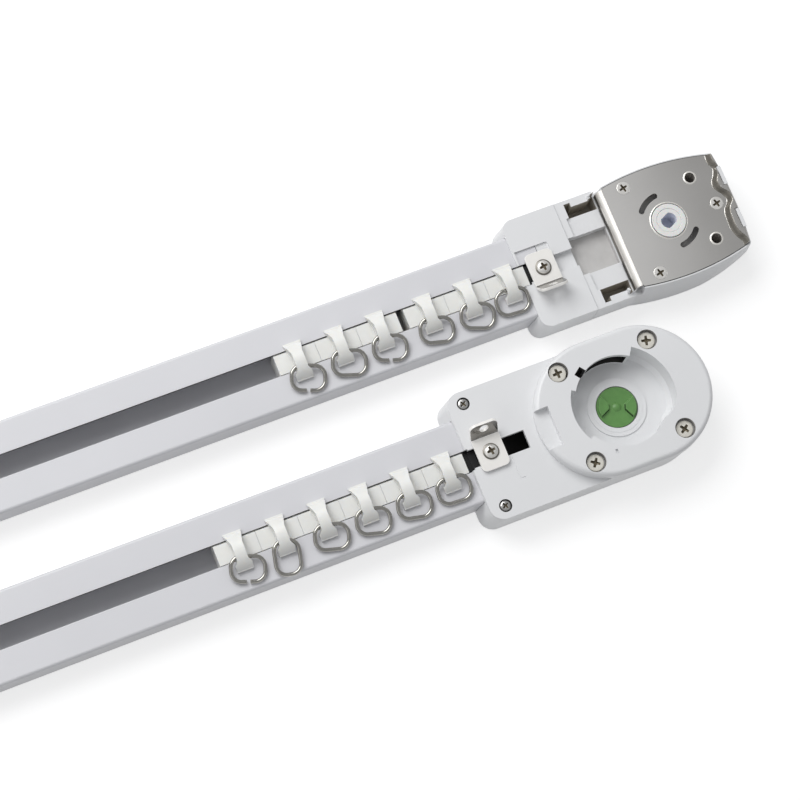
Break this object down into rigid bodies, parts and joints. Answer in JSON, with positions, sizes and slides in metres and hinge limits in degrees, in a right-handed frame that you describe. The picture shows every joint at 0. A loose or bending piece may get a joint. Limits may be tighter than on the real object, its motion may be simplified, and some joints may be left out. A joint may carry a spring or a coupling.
{
  "type": "electric curtain track",
  "caption": "Pair of motorised curtain tracks lying on their backs: slotted rail, belt-driven carriage, runners with hook rings and a motor dock.",
  "frame": {"origin": "centre of the pair seen from above, on the plane of the rail backs", "axes": "+X along the rails towards the motor docks, +Y from the front track to the rear one, +Z out of the slot faces"},
  "size_m": [0.765, 0.14, 0.0293],
  "materials": {
    "anodised_rail": "satin",
    "housing_plastic": "satin",
    "runner_nylon": "satin",
    "natural_nylon": "satin",
    "ring_wire": "satin",
    "coupler_green": "satin",
    "dark_nylon": "matte",
    "belt_rubber": "matte",
    "bronze": "satin",
    "plated_steel": "satin",
    "brushed_plate": "satin"
  },
  "bodies": {
    "tracks": {"front_rail": "anodised_rail", "front_base": "housing_plastic", "front_cover": "housing_plastic", "front_dock": "housing_plastic", "front_dock_screws": "plated_steel", "front_cover_screws": "plated_steel", "front_belt": "belt_rubber", "front_idler_base": "housing_plastic", "front_idler_cover": "housing_plastic", "idler_pins": "plated_steel", "idler_screws": "plated_steel", "rear_rail": "anodised_rail", "rear_adapter": "housing_plastic", "rear_housing": "housing_plastic", "rear_base_plate": "housing_plastic", "rear_dock_plate": "brushed_plate", "rear_plate_screws": "plated_steel", "rear_belt": "belt_rubber", "rear_hub_bush": "natural_nylon", "rear_idler_base": "housing_plastic", "rear_idler_cover": "housing_plastic"},
    "front_drive": {"front_pulley": "natural_nylon", "front_coupler": "coupler_green", "front_bushes": "bronze"},
    "rear_drive": {"rear_pulley": "natural_nylon", "rear_spindle": "natural_nylon"},
    "front_idler": {"front_idler_pulley": "natural_nylon"},
    "rear_idler": {"rear_idler_pulley": "natural_nylon"},
    "front_carriage": {"front_slider": "dark_nylon", "front_bracket": "plated_steel", "front_bracket_screw": "plated_steel", "front_belt_clamp": "dark_nylon"},
    "rear_carriage": {"rear_slider": "dark_nylon", "rear_bracket": "plated_steel", "rear_bracket_screw": "plated_steel", "rear_belt_clamp": "dark_nylon"},
    "front_runner_1": {"front_runner_1": "runner_nylon"},
    "front_ring_1": {"front_ring_1": "ring_wire"},
    "front_runner_2": {"front_runner_2": "runner_nylon"},
    "front_ring_2": {"front_ring_2": "ring_wire"},
    "front_runner_3": {"front_runner_3": "runner_nylon"},
    "front_ring_3": {"front_ring_3": "ring_wire"},
    "front_runner_4": {"front_runner_4": "runner_nylon"},
    "front_ring_4": {"front_ring_4": "ring_wire"},
    "front_runner_5": {"front_runner_5": "runner_nylon"},
    "front_ring_5": {"front_ring_5": "ring_wire"},
    "front_runner_6": {"front_runner_6": "runner_nylon"},
    "front_ring_6": {"front_ring_6": "ring_wire"},
    "rear_runner_1": {"rear_runner_1": "runner_nylon"},
    "rear_ring_1": {"rear_ring_1": "ring_wire"},
    "rear_runner_2": {"rear_runner_2": "runner_nylon"},
    "rear_ring_2": {"rear_ring_2": "ring_wire"},
    "rear_runner_3": {"rear_runner_3": "runner_nylon"},
    "rear_ring_3": {"rear_ring_3": "ring_wire"},
    "rear_runner_4": {"rear_runner_4": "runner_nylon"},
    "rear_ring_4": {"rear_ring_4": "ring_wire"},
    "rear_runner_5": {"rear_runner_5": "runner_nylon"},
    "rear_ring_5": {"rear_ring_5": "ring_wire"},
    "rear_runner_6": {"rear_runner_6": "runner_nylon"},
    "rear_ring_6": {"rear_ring_6": "ring_wire"}
  },
  "joints": [
    {"name": "front_carriage_slide", "type": "slide", "parent": "tracks", "child": "front_carriage", "axis": [1, 0, 0], "range_m": [-0.3, 0]},
    {"name": "front_drive_spin", "type": "hinge", "parent": "tracks", "child": "front_drive", "pos_m": [0.2859, -0.03625, 0.0064], "axis": [0, 0, 1], "range_deg": [0, 1322.7]},
    {"name": "front_idler_spin", "type": "hinge", "parent": "tracks", "child": "front_idler", "pos_m": [-0.3651, -0.03625, 0.0064], "axis": [0, 0, 1], "range_deg": [0, 1322.7]},
    {"name": "front_runner_6_slide", "type": "slide", "parent": "front_carriage", "child": "front_runner_6", "axis": [1, 0, 0], "range_m": [-0.02, 0]},
    {"name": "front_ring_6_swing", "type": "hinge", "parent": "front_runner_6", "child": "front_ring_6", "pos_m": [0.19605, -0.04095, 0.0199], "axis": [-1, 0, 0], "range_deg": [0, 150]},
    {"name": "front_runner_5_slide", "type": "slide", "parent": "front_runner_6", "child": "front_runner_5", "axis": [1, 0, 0], "range_m": [-0.02, 0]},
    {"name": "front_ring_5_swing", "type": "hinge", "parent": "front_runner_5", "child": "front_ring_5", "pos_m": [0.17515, -0.04095, 0.0199], "axis": [-1, 0, 0], "range_deg": [0, 150]},
    {"name": "front_runner_4_slide", "type": "slide", "parent": "front_runner_5", "child": "front_runner_4", "axis": [1, 0, 0], "range_m": [-0.02, 0]},
    {"name": "front_ring_4_swing", "type": "hinge", "parent": "front_runner_4", "child": "front_ring_4", "pos_m": [0.15425, -0.04095, 0.0199], "axis": [-1, 0, 0], "range_deg": [0, 150]},
    {"name": "front_runner_3_slide", "type": "slide", "parent": "front_runner_4", "child": "front_runner_3", "axis": [1, 0, 0], "range_m": [-0.02, 0]},
    {"name": "front_ring_3_swing", "type": "hinge", "parent": "front_runner_3", "child": "front_ring_3", "pos_m": [0.13335, -0.04095, 0.0199], "axis": [-1, 0, 0], "range_deg": [0, 150]},
    {"name": "front_runner_2_slide", "type": "slide", "parent": "front_runner_3", "child": "front_runner_2", "axis": [1, 0, 0], "range_m": [-0.02, 0]},
    {"name": "front_ring_2_swing", "type": "hinge", "parent": "front_runner_2", "child": "front_ring_2", "pos_m": [0.11245, -0.04095, 0.0199], "axis": [-1, 0, 0], "range_deg": [0, 150]},
    {"name": "front_runner_1_slide", "type": "slide", "parent": "front_runner_2", "child": "front_runner_1", "axis": [1, 0, 0], "range_m": [-0.02, 0]},
    {"name": "front_ring_1_swing", "type": "hinge", "parent": "front_runner_1", "child": "front_ring_1", "pos_m": [0.09155, -0.04095, 0.0199], "axis": [-1, 0, 0], "range_deg": [0, 150]},
    {"name": "rear_carriage_slide", "type": "slide", "parent": "tracks", "child": "rear_carriage", "axis": [1, 0, 0], "range_m": [-0.3, 0]},
    {"name": "rear_drive_spin", "type": "hinge", "parent": "tracks", "child": "rear_drive", "pos_m": [0.3442, 0.03895, 0.0064], "axis": [0, 0, 1], "range_deg": [-1322.7, 0]},
    {"name": "rear_idler_spin", "type": "hinge", "parent": "tracks", "child": "rear_idler", "pos_m": [-0.3101, 0.03895, 0.0064], "axis": [0, 0, 1], "range_deg": [-1322.7, 0]},
    {"name": "rear_runner_6_slide", "type": "slide", "parent": "rear_carriage", "child": "rear_runner_6", "axis": [1, 0, 0], "range_m": [-0.02, 0]},
    {"name": "rear_ring_6_swing", "type": "hinge", "parent": "rear_runner_6", "child": "rear_ring_6", "pos_m": [0.259, 0.03425, 0.0199], "axis": [-1, 0, 0], "range_deg": [0, 150]},
    {"name": "rear_runner_5_slide", "type": "slide", "parent": "rear_runner_6", "child": "rear_runner_5", "axis": [1, 0, 0], "range_m": [-0.02, 0]},
    {"name": "rear_ring_5_swing", "type": "hinge", "parent": "rear_runner_5", "child": "rear_ring_5", "pos_m": [0.2381, 0.03425, 0.0199], "axis": [-1, 0, 0], "range_deg": [0, 150]},
    {"name": "rear_runner_4_slide", "type": "slide", "parent": "rear_runner_5", "child": "rear_runner_4", "axis": [1, 0, 0], "range_m": [-0.02, 0]},
    {"name": "rear_ring_4_swing", "type": "hinge", "parent": "rear_runner_4", "child": "rear_ring_4", "pos_m": [0.2172, 0.03425, 0.0199], "axis": [-1, 0, 0], "range_deg": [0, 150]},
    {"name": "rear_runner_3_slide", "type": "slide", "parent": "rear_runner_4", "child": "rear_runner_3", "axis": [1, 0, 0], "range_m": [-0.02, 0.0035]},
    {"name": "rear_ring_3_swing", "type": "hinge", "parent": "rear_runner_3", "child": "rear_ring_3", "pos_m": [0.1927, 0.03425, 0.0199], "axis": [-1, 0, 0], "range_deg": [0, 150]},
    {"name": "rear_runner_2_slide", "type": "slide", "parent": "rear_runner_3", "child": "rear_runner_2", "axis": [1, 0, 0], "range_m": [-0.02, 0]},
    {"name": "rear_ring_2_swing", "type": "hinge", "parent": "rear_runner_2", "child": "rear_ring_2", "pos_m": [0.1718, 0.03425, 0.0199], "axis": [-1, 0, 0], "range_deg": [0, 150]},
    {"name": "rear_runner_1_slide", "type": "slide", "parent": "rear_runner_2", "child": "rear_runner_1", "axis": [1, 0, 0], "range_m": [-0.02, 0]},
    {"name": "rear_ring_1_swing", "type": "hinge", "parent": "rear_runner_1", "child": "rear_ring_1", "pos_m": [0.1509, 0.03425, 0.0199], "axis": [-1, 0, 0], "range_deg": [0, 150]}
  ],
  "couplings": [
    {"joint": "front_drive_spin", "follows": "front_carriage_slide", "rad_per_m": -76.923},
    {"joint": "front_idler_spin", "follows": "front_carriage_slide", "rad_per_m": -76.923},
    {"joint": "rear_drive_spin", "follows": "rear_carriage_slide", "rad_per_m": 76.923},
    {"joint": "rear_idler_spin", "follows": "rear_carriage_slide", "rad_per_m": 76.923}
  ]
}
